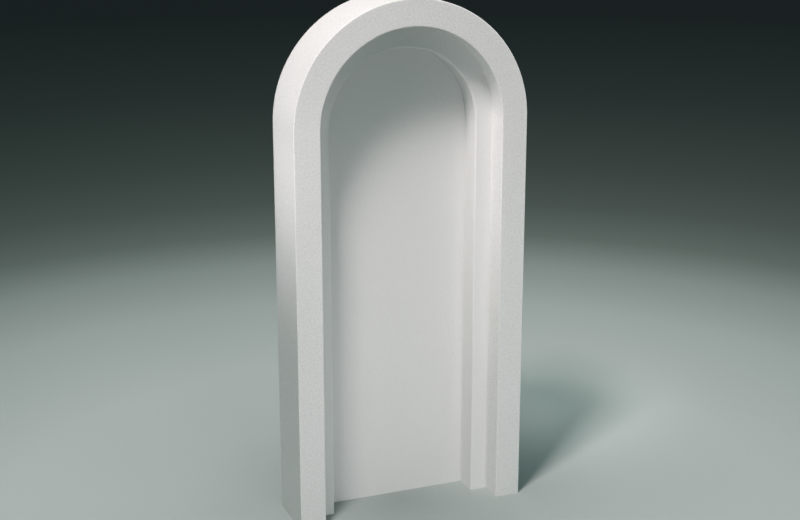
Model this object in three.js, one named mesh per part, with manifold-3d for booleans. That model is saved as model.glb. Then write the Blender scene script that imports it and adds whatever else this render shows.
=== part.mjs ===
// Round-topped decorative arch in coated foam: a deep outer arch, a narrower inner arch set back
// inside it, and a flat panel that closes the niche. Millimetres, +Z up, the open side faces -Y.
// The origin is on the floor, in the middle of the footprint.

import * as THREE from 'three';
import { mergeVertices } from 'three/addons/utils/BufferGeometryUtils.js';
import Module from 'manifold-3d';

const wasm = await Module();
wasm.setup();

// Driving dimensions
const archWidth = 920;
const archHeight = 2000;
const outerFace = 101; // width of the outer arch's front face
const innerFace = 67.5; // width of the inner arch's front face, beside the niche
const innerCrownDrop = 21; // how far below the outer arch the niche springs
const firstStep = 95; // from the outer arch's face back to the inner arch's face
const secondStep = 97; // from the inner arch's face back to the panel
const panelThickness = 56;
const outerArris = 3; // rounding of the outer arch's long edges
const innerArris = 6; // rounding of the inner arch's edge around the niche
const glueGap = 0.3; // joint between neighbouring pieces

// How finely the round stretches are cut
const crownSteps = 32; // for each quarter of a crown
const arrisSteps = 3;

// Coat colours
const archWhite = 0xdedfdd;
const panelWhite = 0xdcdddb;
const coatRoughness = 0.85;

// The three outlines stand on the same feet, and each springs into a half circle.
const outerOutline = { half: archWidth / 2, spring: archHeight - archWidth / 2 };
const recess = { half: outerOutline.half - outerFace, spring: outerOutline.spring };
const niche = { half: recess.half - innerFace, spring: outerOutline.spring - innerCrownDrop };

// Planes from front to back
const archDepth = firstStep + secondStep + panelThickness;
const frontY = -archDepth / 2;
const innerFaceY = frontY + firstStep;
const panelY = innerFaceY + secondStep;
const backY = panelY + panelThickness;

// Blanks run on below the floor by this much, until their feet are cut flat.
const footAllowance = archDepth;

// The same outline, moved in all round by a clearance, or out by a negative one.
function inset(outline, clearance) {
  return { half: outline.half - clearance, spring: outline.spring };
}

// Up one leg of an outline, over its crown and down the other.
function walkOver(shape, outline) {
  shape.moveTo(-outline.half, -footAllowance);
  shape.lineTo(-outline.half, outline.spring);
  shape.absarc(0, outline.spring, outline.half, Math.PI, 0, true);
  shape.lineTo(outline.half, -footAllowance);
}

// Arch outline, filled down to the foot line.
function filledShape(outline) {
  const shape = new THREE.Shape();
  walkOver(shape, outline);
  shape.closePath();
  return shape;
}

// Horseshoe between two arch outlines, open at the foot.
function bandShape(outside, inside) {
  const shape = new THREE.Shape();
  walkOver(shape, outside);
  shape.lineTo(inside.half, -footAllowance);
  shape.lineTo(inside.half, inside.spring);
  shape.absarc(0, inside.spring, inside.half, 0, Math.PI, false);
  shape.lineTo(-inside.half, -footAllowance);
  shape.closePath();
  return shape;
}

// Block of one section that reaches from fromY back to toY. Its long edges are rounded, or square
// where the radius is 0.
function cutBlock(shape, fromY, toY, radius) {
  const geometry = new THREE.ExtrudeGeometry(shape, {
    depth: toY - fromY - 2 * radius,
    curveSegments: crownSteps,
    steps: 1,
    bevelEnabled: radius > 0,
    bevelThickness: radius,
    bevelSize: radius,
    bevelOffset: -radius,
    bevelSegments: arrisSteps,
  });
  geometry.rotateX(Math.PI / 2);
  geometry.translate(0, toY - radius, 0);
  return toSolid(geometry);
}

// Closed geometry as a solid that can be cut.
function toSolid(geometry) {
  geometry.deleteAttribute('normal');
  geometry.deleteAttribute('uv');
  const merged = mergeVertices(geometry);
  return new wasm.Manifold(
    new wasm.Mesh({
      numProp: 3,
      vertProperties: new Float32Array(merged.attributes.position.array),
      triVerts: new Uint32Array(merged.index.array),
    }),
  );
}

// A finished solid, back as geometry.
function toGeometry(solid) {
  const mesh = solid.getMesh();
  const geometry = new THREE.BufferGeometry();
  geometry.setAttribute('position', new THREE.BufferAttribute(mesh.vertProperties, 3));
  geometry.setIndex(new THREE.BufferAttribute(mesh.triVerts, 1));
  geometry.computeVertexNormals();
  return geometry;
}

// Takes off all that is below the floor, so that the feet stand flat.
function standFlat(solid) {
  const ground = new THREE.BoxGeometry(2 * archWidth, 2 * archDepth, 2 * footAllowance);
  ground.translate(0, 0, -footAllowance);
  return solid.subtract(toSolid(ground));
}

// Opens a block by an arch-shaped way through it. Only the way's front edge is rounded: at the
// back it runs out square, against what stands behind.
function openBlock(block, outline, opening, fromY, toY, radius) {
  const spare = 2 * radius;
  const collar = bandShape(inset(outline, -spare), opening);
  return block.intersect(cutBlock(collar, fromY, toY + spare, radius));
}

function named(name, solid, color) {
  const coat = new THREE.MeshStandardMaterial({ color, roughness: coatRoughness, metalness: 0 });
  const mesh = new THREE.Mesh(toGeometry(standFlat(solid)), coat);
  mesh.name = name;
  return mesh;
}

// Full-depth surround. Its outer side is rounded into the front and the back.
function makeOuterArch() {
  const block = cutBlock(filledShape(outerOutline), frontY, backY, outerArris);
  const surround = openBlock(block, outerOutline, recess, frontY, backY, outerArris);
  return named('outer_arch', surround, archWhite);
}

// Fits the recess of the surround and stands against the panel.
function makeInnerArch() {
  const seat = inset(recess, glueGap);
  const seatY = panelY - glueGap;
  const block = cutBlock(filledShape(seat), innerFaceY, seatY, 0);
  const ring = openBlock(block, seat, niche, innerFaceY, seatY, innerArris);
  return named('inner_arch', ring, archWhite);
}

// Closes the recess, flush with the back of the surround.
function makeBackPanel() {
  const panel = cutBlock(filledShape(inset(recess, glueGap)), panelY, backY, 0);
  return named('back_panel', panel, panelWhite);
}

const arch = new THREE.Group();
arch.add(makeOuterArch(), makeInnerArch(), makeBackPanel());

export default arch;
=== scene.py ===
import math

import bpy
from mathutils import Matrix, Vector, noise


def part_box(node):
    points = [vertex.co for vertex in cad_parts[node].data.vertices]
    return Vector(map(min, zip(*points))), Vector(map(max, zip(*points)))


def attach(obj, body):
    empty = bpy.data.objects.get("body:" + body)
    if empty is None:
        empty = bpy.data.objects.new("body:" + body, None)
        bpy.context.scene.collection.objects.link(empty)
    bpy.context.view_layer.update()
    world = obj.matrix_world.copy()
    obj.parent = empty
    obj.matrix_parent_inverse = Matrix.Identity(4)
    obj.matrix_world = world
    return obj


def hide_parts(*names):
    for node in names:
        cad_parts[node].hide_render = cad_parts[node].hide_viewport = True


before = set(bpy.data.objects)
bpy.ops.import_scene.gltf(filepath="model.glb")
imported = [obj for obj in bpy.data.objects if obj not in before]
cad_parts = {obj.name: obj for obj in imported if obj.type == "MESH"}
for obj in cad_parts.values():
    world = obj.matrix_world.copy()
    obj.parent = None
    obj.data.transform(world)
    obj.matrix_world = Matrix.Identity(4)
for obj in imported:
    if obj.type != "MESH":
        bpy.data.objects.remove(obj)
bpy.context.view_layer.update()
print("frame loaded:", ", ".join(sorted(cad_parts)))

# Round-topped foam arch with a white coat sprayed over it. It stands on the floor, and its niche
# faces -Y. Everything is in metres. A section is a loop of (half, y) pairs: half is the distance
# from the middle line, or from the middle of the round top, and y runs front to back.


class Wire:
    # one socket of a shader tree, so that sums on it can be written as sums
    def __init__(self, tree, socket=None):
        self.tree = tree
        self.socket = socket

    # any node: its type, its settings, then the values or wires of its sockets
    def node(self, kind, settings=None, sockets=None, output=0):
        made = self.tree.nodes.new(kind)
        for name, value in (settings or {}).items():
            if name == "stops":
                fillRamp(made.color_ramp, value)
            else:
                setattr(made, name, value)
        for name, value in (sockets or {}).items():
            if isinstance(value, Wire):
                self.tree.links.new(value.socket, made.inputs[name])
            else:
                made.inputs[name].default_value = value
        return Wire(self.tree, made.outputs[output] if made.outputs else None)

    def sum(self, operation, first, second):
        return self.node("ShaderNodeMath", {"operation": operation}, {0: first, 1: second})

    def __add__(self, other):
        return self.sum("ADD", self, other)

    def __radd__(self, other):
        return self.sum("ADD", other, self)

    def __sub__(self, other):
        return self.sum("SUBTRACT", self, other)

    def __rsub__(self, other):
        return self.sum("SUBTRACT", other, self)

    def __mul__(self, other):
        return self.sum("MULTIPLY", self, other)

    def __rmul__(self, other):
        return self.sum("MULTIPLY", other, self)


# stops are (place, colour) pairs, from low to high
def fillRamp(ramp, stops):
    while len(ramp.elements) < len(stops):
        ramp.elements.new(0.5)
    for element, (place, colour) in zip(ramp.elements, stops):
        element.position = place
        element.color = (*colour, 1)


def startMaterial(name):
    material = bpy.data.materials.new(name)
    material.use_nodes = True
    material.node_tree.nodes.clear()
    return material, Wire(material.node_tree)


# Sprayed coat: rounded pebbles over softer lumps, a little darker and rougher in the hollows; the
# darkening there is painted shade in the pits of the grain
def makeCoat(name, look):
    material, start = startMaterial(name)
    place = start.node("ShaderNodeTexCoord", output="Object")
    pebbles = start.node(
        "ShaderNodeTexVoronoi",
        {"feature": "SMOOTH_F1"},
        {"Vector": place, "Scale": 1 / look["pebble"], "Smoothness": 1.0},
        "Distance",
    )
    lumps = start.node(
        "ShaderNodeTexNoise",
        {"noise_dimensions": "3D"},
        {"Vector": place, "Scale": 1 / look["lump"], "Detail": 3.0, "Roughness": 0.55},
    )
    clouds = start.node(
        "ShaderNodeTexNoise",
        {"noise_dimensions": "3D"},
        {"Vector": place, "Scale": 1 / look["cloud"], "Detail": 2.0},
    )
    height = lumps * look["lumpShare"] + (1 - pebbles) * (1 - look["lumpShare"])
    # painted shade: the grain's low places take the darker hollow colour below, as if shaded in the
    # pits, while the clouds add the coat's own uneven tone
    pitShade = (height - 0.5) * look["grainContrast"] + 0.5
    tone = clouds * look["cloudShare"] + pitShade * (1 - look["cloudShare"])
    colour = start.node(
        "ShaderNodeMix",
        {"data_type": "RGBA"},
        {"Factor": tone, "A": (*look["hollowShadeColour"], 1), "B": (*look["topColour"], 1)},
        output=2,
    )
    roughness = look["roughness"] + look["roughnessSpread"] * (0.5 - tone)
    bump = start.node(
        "ShaderNodeBump",
        sockets={"Height": height, "Distance": look["grainDepth"], "Strength": 1.0},
    )
    shader = start.node(
        "ShaderNodeBsdfPrincipled",
        sockets={
            "Base Color": colour,
            "Roughness": roughness,
            "Normal": bump,
            "Specular IOR Level": look["specular"],
        },
    )
    start.node("ShaderNodeOutputMaterial", sockets={"Surface": shader})
    return material


# pebble, lump and cloud are sizes, from fine to broad
archCoat = {
    "pebble": 0.0055,
    "lump": 0.0065,
    "lumpShare": 0.6,  # of the grain's height, and the pebbles make the rest
    "cloud": 0.25,
    "cloudShare": 0.35,  # of the tone, and the grain's painted pit shade makes the rest
    "grainContrast": 4.5,
    "topColour": (0.78, 0.792, 0.775),
    # painted shade: the colour of the grain's hollows, darker as if shaded
    "hollowShadeColour": (0.66, 0.672, 0.656),
    "roughness": 0.74,
    "roughnessSpread": 0.16,
    "specular": 0.45,
    "grainDepth": 0.001,
}

innerCoat = {
    "pebble": 0.007,
    "lump": 0.0095,
    "lumpShare": 0.6,
    "cloud": 0.25,
    "cloudShare": 0.5,
    "grainContrast": 2.5,
    "topColour": (0.745, 0.757, 0.74),
    # painted shade: the colour of the grain's hollows, darker as if shaded
    "hollowShadeColour": (0.68, 0.692, 0.676),
    "roughness": 0.74,
    "roughnessSpread": 0.14,
    "specular": 0.45,
    "grainDepth": 0.0006,
}

panelCoat = {
    "pebble": 0.007,
    "lump": 0.01,
    "lumpShare": 0.6,
    "cloud": 0.3,
    "cloudShare": 0.5,
    "grainContrast": 2.5,
    "topColour": (0.72, 0.732, 0.716),
    # painted shade: the colour of the grain's hollows, darker as if shaded
    "hollowShadeColour": (0.68, 0.692, 0.677),
    "roughness": 0.76,
    "roughnessSpread": 0.12,
    "specular": 0.4,
    "grainDepth": 0.0006,
}

archMaterial = makeCoat("archCoat", archCoat)
innerMaterial = makeCoat("innerCoat", innerCoat)
panelMaterial = makeCoat("panelCoat", panelCoat)
print("coats mixed")


# Floor with painted light and shade: pale near the arch, with painted shade darkening it close round
# the arch's foot, and darker the further it runs as a painted falloff of light
def makeFloorWithPaintedLight(look):
    material, start = startMaterial("floorWithPaintedLight")
    place = start.node("ShaderNodeTexCoord", output="Object")
    distance = start.node("ShaderNodeVectorMath", {"operation": "LENGTH"}, {0: place}, "Value")
    reach = look["paintedLightTones"][-1][0]
    paintedLightTones = [(radius / reach, colour) for radius, colour in look["paintedLightTones"]]
    # painted light and shade: the floor's colour is set by its distance from the arch
    colour = start.node("ShaderNodeValToRGB", {"stops": paintedLightTones}, {"Fac": distance * (1 / reach)})
    grain = start.node(
        "ShaderNodeTexNoise",
        sockets={"Vector": place, "Scale": 1 / look["grain"], "Detail": 2.0},
    )
    roughness = look["roughness"] + look["roughnessSpread"] * (grain - 0.5)
    shader = start.node(
        "ShaderNodeBsdfPrincipled",
        sockets={
            "Base Color": colour,
            "Roughness": roughness,
            "Specular IOR Level": look["specular"],
        },
    )
    start.node("ShaderNodeOutputMaterial", sockets={"Surface": shader})
    return material


# From the left foot over the crown to the right foot. Each stage is (rise, turn): the share of the
# leg's height, and the angle turned round the crown.
def walkStages(half, spring, spacing):
    legCount = round(spring / spacing)
    crownCount = round(math.pi * half / spacing)
    leftLeg = [(step / legCount, 0.0) for step in range(legCount)]
    crown = [(1.0, math.pi * step / crownCount) for step in range(crownCount)]
    rightLeg = [(1 - step / legCount, math.pi) for step in range(legCount + 1)]
    return leftLeg + crown + rightLeg


# Turns square corners into a loop of points. A corner is (half, y, radius, spacing), and its
# spacing is for the straight run that leaves it.
def roundSection(corners, arcSteps):
    loop = []
    for index, (half, y, radius, spacing) in enumerate(corners):
        corner = Vector((half, y))
        before = Vector(corners[index - 1][:2])
        following = corners[(index + 1) % len(corners)]
        after = Vector(following[:2])
        wayIn = (corner - before).normalized()
        wayOut = (after - corner).normalized()
        arcCentre = corner + (wayOut - wayIn) * radius
        if radius:
            for step in range(arcSteps + 1):
                angle = math.pi / 2 * step / arcSteps
                loop.append(arcCentre + radius * (wayIn * math.sin(angle) - wayOut * math.cos(angle)))
        else:
            loop.append(corner)
        runLength = (after - corner).length - radius - following[2]
        runCount = max(1, round(runLength / spacing))
        runStart = corner + wayOut * radius
        for step in range(1, runCount):
            loop.append(runStart + wayOut * runLength * step / runCount)
    return loop


# Outward direction at each point of a loop that runs from the niche outwards along the front
def loopNormals(loop):
    normals = []
    for index in range(len(loop)):
        along = loop[(index + 1) % len(loop)] - loop[index - 1]
        normals.append(Vector((along.y, -along.x)).normalized())
    return normals


def holdShare(value):
    return min(1.0, max(0.0, value))


def smoothShare(value):
    held = holdShare(value)
    return held * held * (3 - 2 * held)


# A run is a straight line in the section, given by its two ends
def distanceToRun(point, run):
    first = Vector(run[0])
    along = Vector(run[1]) - first
    share = holdShare((point - first).dot(along) / along.length_squared)
    return (point - first - along * share).length


smallShift = Vector((7.3, 2.9, 5.1))  # so that the small waves don't line up with the broad ones


# How far the coat lies below the true surface at a place: always inwards, so nothing grows
def coatSag(place, look):
    broad = noise.noise(place / look["broadSize"])
    small = noise.noise(place / look["smallSize"] + smallShift)
    return look["broadDepth"] * (0.5 + 0.5 * broad) + look["smallDepth"] * (0.5 + 0.5 * small)


# Sweeps a section round an arch. springAt gives the height at which the crown starts for a half
# width, and stillRuns are the joints, where the surface keeps its exact place.
def sweepArch(corners, stages, springAt, stillRuns, look):
    loop = roundSection(corners, look["arcSteps"])
    normals = loopNormals(loop)
    sagShares = []
    for point in loop:
        nearest = min(distanceToRun(point, run) for run in stillRuns)
        sagShares.append(smoothShare(nearest / look["sagFade"]))
    vertices = []
    for rise, turn in stages:
        across = -math.cos(turn)
        up = math.sin(turn)
        for point, normal, share in zip(loop, normals, sagShares):
            place = Vector((across * point.x, point.y, rise * springAt(point.x) + up * point.x))
            outward = Vector((across * normal.x, normal.y, up * normal.x))
            vertices.append(place - outward * share * coatSag(place, look))
    size = len(loop)
    faces = []
    for row in range(len(stages) - 1):
        low = row * size
        high = low + size
        for column in range(size):
            nextColumn = (column + 1) % size
            faces.append((low + column, high + column, high + nextColumn, low + nextColumn))
    lastRow = (len(stages) - 1) * size
    faces.append(tuple(range(size)))  # left foot
    faces.append(tuple(reversed(range(lastRow, lastRow + size))))  # right foot
    return vertices, faces


sharpAngle = 35  # degrees: an edge that turns further than this stays crisp


def addPiece(name, vertices, faces, material, node, slot):
    mesh = bpy.data.meshes.new(name)
    mesh.from_pydata(vertices, [], faces)
    mesh.shade_smooth()
    mesh.set_sharp_from_angle(angle=math.radians(sharpAngle))
    mesh.materials.append(material)
    piece = bpy.data.objects.new(name, mesh)
    bpy.context.scene.collection.objects.link(piece)
    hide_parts(node)
    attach(piece, "root")
    print(name, "made:", len(mesh.polygons), "faces")


# Places that the frame gives
outerLow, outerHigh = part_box("outer_arch")
innerLow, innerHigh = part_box("inner_arch")
panelLow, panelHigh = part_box("back_panel")
jointGap = panelLow.y - innerHigh.y
springHeight = outerHigh.z - outerHigh.x
recessHalf = innerHigh.x + jointGap

outerArch = {
    "edgeRound": 0.003,
    "spacing": 0.006,  # between the points on the front, the outer side and the reveal
    "backSpacing": 0.009,
    "hiddenSpacing": 0.04,  # where the inner arch and the panel cover it
    "arcSteps": 5,  # round each edge
    "sagFade": 0.03,  # how far from a joint the unevenness is full
    "broadSize": 0.24,  # broad waves in the coat
    "broadDepth": 0.0004,
    "smallSize": 0.034,  # small waves
    "smallDepth": 0.00012,
}


def makeOuterArch(look):
    rounding = look["edgeRound"]
    corners = [
        (recessHalf, outerLow.y, rounding, look["spacing"]),
        (outerHigh.x, outerLow.y, rounding, look["spacing"]),
        (outerHigh.x, outerHigh.y, rounding, look["backSpacing"]),
        (recessHalf, outerHigh.y, 0, look["hiddenSpacing"]),
        (recessHalf, innerLow.y, 0, look["spacing"]),
    ]
    hiddenRun = ((recessHalf, innerLow.y), (recessHalf, outerHigh.y))
    stages = walkStages(outerHigh.x, springHeight, look["spacing"])
    shape = sweepArch(corners, stages, lambda half: springHeight, [hiddenRun], look)
    addPiece("outerArch", *shape, archMaterial, "outer_arch", "arch_coat")


makeOuterArch(outerArch)

innerArch = {
    "faceWidth": 0.0675,
    "crownDrop": 0.021,  # how far below the outer arch's crown this one starts
    "edgeRound": 0.006,
    "bead": 0.002,  # cove of coat in the corners
    "beadSink": 0.0001,  # how deep the bead's lip goes into its neighbour
    "lip": 0.0004,  # how thick the lip is, and how far it runs past the bead
    "spacing": 0.0055,
    "hiddenSpacing": 0.03,
    "arcSteps": 5,
    "sagFade": 0.02,
    "broadSize": 0.24,
    "broadDepth": 0.0004,
    "smallSize": 0.034,
    "smallDepth": 0.0001,
}

nicheHalf = recessHalf - innerArch["faceWidth"]
nicheSpring = springHeight - innerArch["crownDrop"]


def makeInnerArch(look):
    sink = look["beadSink"]
    bead = look["bead"]
    lip = look["lip"]
    fine = look["spacing"]
    coarse = look["hiddenSpacing"]
    seatHalf = innerHigh.x
    tipHalf = recessHalf + sink
    tipY = innerLow.y - bead - lip
    heelY = panelLow.y + sink
    corners = [
        (nicheHalf, innerLow.y, look["edgeRound"], fine),
        (tipHalf, innerLow.y, bead, fine),
        (tipHalf, tipY, 0, fine),
        (tipHalf + lip, tipY, 0, fine),
        (tipHalf + lip, innerLow.y + lip, 0, fine),
        (seatHalf, innerLow.y + lip, 0, coarse),
        (seatHalf, innerHigh.y, 0, coarse),
        (nicheHalf + lip, innerHigh.y, 0, fine),
        (nicheHalf + lip, heelY + lip, 0, fine),
        (nicheHalf - bead - lip, heelY + lip, 0, fine),
        (nicheHalf - bead - lip, heelY, 0, fine),
        (nicheHalf, heelY, bead, fine),
    ]
    stillRuns = [
        ((recessHalf, innerLow.y), (recessHalf, innerHigh.y)),
        ((recessHalf, innerHigh.y), (nicheHalf, innerHigh.y)),
    ]

    # from the niche's own height at its edge to the recess's at the seat
    def springAt(half):
        share = holdShare((half - nicheHalf) / (recessHalf - nicheHalf))
        return nicheSpring + share * (springHeight - nicheSpring)

    stages = walkStages(recessHalf, springHeight, look["spacing"])
    shape = sweepArch(corners, stages, springAt, stillRuns, look)
    addPiece("innerArch", *shape, innerMaterial, "inner_arch", "arch_coat")


makeInnerArch(innerArch)

backPanel = {
    "columns": 140,
    "rows": 236,
    "sagFade": 0.02,
    "broadSize": 0.3,
    "broadDepth": 0.0004,
    "smallSize": 0.04,
    "smallDepth": 0.00005,
}


# Flat panel with a round top. Its columns lie closer together at the sides, so that its round edge
# is cut evenly.
def makeBackPanel(look):
    half = panelHigh.x
    spring = panelHigh.z - half
    columns = look["columns"]
    rows = look["rows"]
    fronts = []
    backs = []
    for column in range(columns + 1):
        angle = math.pi * column / columns
        x = -half * math.cos(angle)
        top = spring + half * math.sin(angle)
        for row in range(rows + 1):
            z = top * row / rows
            nicheEdge = nicheHalf - math.hypot(x, max(0.0, z - nicheSpring))
            edge = half - math.hypot(x, max(0.0, z - spring))
            front = Vector((x, panelLow.y, z))
            back = Vector((x, panelHigh.y, z))
            front.y += smoothShare(nicheEdge / look["sagFade"]) * coatSag(front, look)
            back.y -= smoothShare(edge / look["sagFade"]) * coatSag(back, look)
            fronts.append(front)
            backs.append(back)
    perColumn = rows + 1
    backStart = len(fronts)
    faces = []
    for column in range(columns):
        for row in range(rows):
            left = column * perColumn + row
            right = left + perColumn
            faces.append((left, right, right + 1, left + 1))
            faces.append(tuple(backStart + place for place in (left, left + 1, right + 1, right)))
    foot = [column * perColumn for column in range(columns + 1)]
    rightSide = [columns * perColumn + row for row in range(1, rows + 1)]
    crown = [column * perColumn + rows for column in range(columns - 1, -1, -1)]
    leftSide = list(range(rows - 1, 0, -1))
    rim = foot + rightSide + crown + leftSide
    for first, second in zip(rim, rim[1:] + rim[:1]):
        faces.append((first, backStart + first, backStart + second, second))
    addPiece("backPanel", fronts + backs, faces, panelMaterial, "back_panel", "panel_coat")


makeBackPanel(backPanel)

floorLook = {
    "halfSize": 30,
    "roughness": 0.95,
    "roughnessSpread": 0.1,
    "specular": 0.0,
    "grain": 0.012,
    "paintedLightTones": [  # each at a distance from the arch: painted shade close round it, then a painted falloff of light
        (0.0, (0.26, 0.305, 0.295)),
        (0.45, (0.4, 0.455, 0.44)),
        (0.9, (0.52, 0.58, 0.565)),
        (1.6, (0.64, 0.705, 0.68)),
        (2.6, (0.67, 0.73, 0.7)),
        (3.35, (0.56, 0.61, 0.585)),
        (4.0, (0.335, 0.37, 0.345)),
        (4.8, (0.25, 0.27, 0.25)),
        (6.0, (0.21, 0.22, 0.2)),
        (9.0, (0.165, 0.155, 0.15)),
        (15.0, (0.115, 0.092, 0.098)),
    ],
}


def makeFloor(look):
    reach = look["halfSize"]
    mesh = bpy.data.meshes.new("floor")
    corners = [(-reach, -reach, 0), (reach, -reach, 0), (reach, reach, 0), (-reach, reach, 0)]
    mesh.from_pydata(corners, [], [(0, 1, 2, 3)])
    mesh.materials.append(makeFloorWithPaintedLight(look))
    floor = bpy.data.objects.new("floor", mesh)
    bpy.context.scene.collection.objects.link(floor)


makeFloor(floorLook)
print("floor laid")

# Soft boxes: where each hangs and points, its width and height, how wide its beam is in degrees,
# its strength and its tint
softBoxes = {
    "key": {
        "place": (-2.13, -2.15, 6.42),
        "aim": (0.14, 0, 1.62),
        "size": (0.95, 1.3),
        "beam": 88,
        "watts": 87,
        "tint": (1.0, 0.89, 0.895),
    },
    "right": {
        "place": (6.66, -0.55, 2.36),
        "aim": (-0.58, 0, 2.29),
        "size": (1.0, 1.0),
        "beam": 36,
        "watts": 16,
        "tint": (0.97, 0.93, 1.0),
    },
    "fill": {
        "place": (0.1, -5.6, 0.55),
        "aim": (0, 0, 0.2),
        "size": (2.4, 2.4),
        "beam": 31,
        "watts": 6.5,
        "tint": (0.96, 0.9, 0.93),
    },
    "left": {
        "place": (-2.1, -0.46, 1.47),
        "aim": (-0.32, 0, 1.42),
        "size": (0.6, 0.6),
        "beam": 35.2,
        "watts": 0.95,
        "tint": (1.0, 0.92, 0.96),
    },
    "side": {  # softens the shadow beside the right foot
        "place": (1.5, 1.7, 3.0),
        "aim": (0.9, 0.66, 0),
        "size": (0.8, 0.8),
        "beam": 20,
        "watts": 0.7,
        "tint": (1.0, 0.98, 0.96),
    },
}

# Low light from behind on the right, which draws the bright edge round the crown. Angles are in
# degrees.
backLight = {"height": 15.4, "turn": 26.9, "strength": 0.4, "angle": 4, "tint": (0.97, 0.97, 1.0)}

surroundings = {"colour": (0.055, 0.125, 0.116), "strength": 1.0}


def hangLight(name, light, rotation, place=(0, 0, 0)):
    holder = bpy.data.objects.new(name, light)
    holder.location = place
    holder.rotation_euler = rotation
    holder.visible_camera = False
    bpy.context.scene.collection.objects.link(holder)


def hangSoftBox(name, look):
    light = bpy.data.lights.new(name, "AREA")
    light.shape = "RECTANGLE"
    light.size = look["size"][0]
    light.size_y = look["size"][1]
    light.spread = math.radians(look["beam"])
    light.energy = look["watts"]
    light.color = look["tint"]
    direction = Vector(look["aim"]) - Vector(look["place"])
    hangLight(name, light, direction.to_track_quat("-Z", "Y").to_euler(), look["place"])


def hangBackLight(look):
    light = bpy.data.lights.new("back", "SUN")
    light.energy = look["strength"]
    light.angle = math.radians(look["angle"])
    light.color = look["tint"]
    height = math.radians(look["height"])
    turn = math.radians(look["turn"])
    level = math.cos(height)
    beam = Vector((-math.sin(turn) * level, -math.cos(turn) * level, -math.sin(height)))
    hangLight("back", light, beam.to_track_quat("-Z", "Y").to_euler())


for boxName, boxLook in softBoxes.items():
    hangSoftBox(boxName, boxLook)
hangBackLight(backLight)

world = bpy.data.worlds.new("studio")
world.use_nodes = True
background = world.node_tree.nodes["Background"]
background.inputs["Color"].default_value = (*surroundings["colour"], 1)
background.inputs["Strength"].default_value = surroundings["strength"]
bpy.context.scene.world = world
bpy.context.scene.view_settings.view_transform = "Standard"
print("lights hung")

cameraLook = {
    "place": (-2.0869, -5.1927, 2.6562),
    "downTilt": 0.2884,  # radians, like the turn
    "turn": 0.3814,
    "lens": 68.86,  # millimetres, like the sensor
    "sensor": 36,
}

camera = bpy.data.objects.new("camera", bpy.data.cameras.new("camera"))
camera.location = cameraLook["place"]
camera.rotation_euler = (math.pi / 2 - cameraLook["downTilt"], 0, -cameraLook["turn"])
camera.data.lens = cameraLook["lens"]
camera.data.sensor_width = cameraLook["sensor"]
bpy.context.scene.collection.objects.link(camera)
bpy.context.scene.camera = camera
print("camera set")
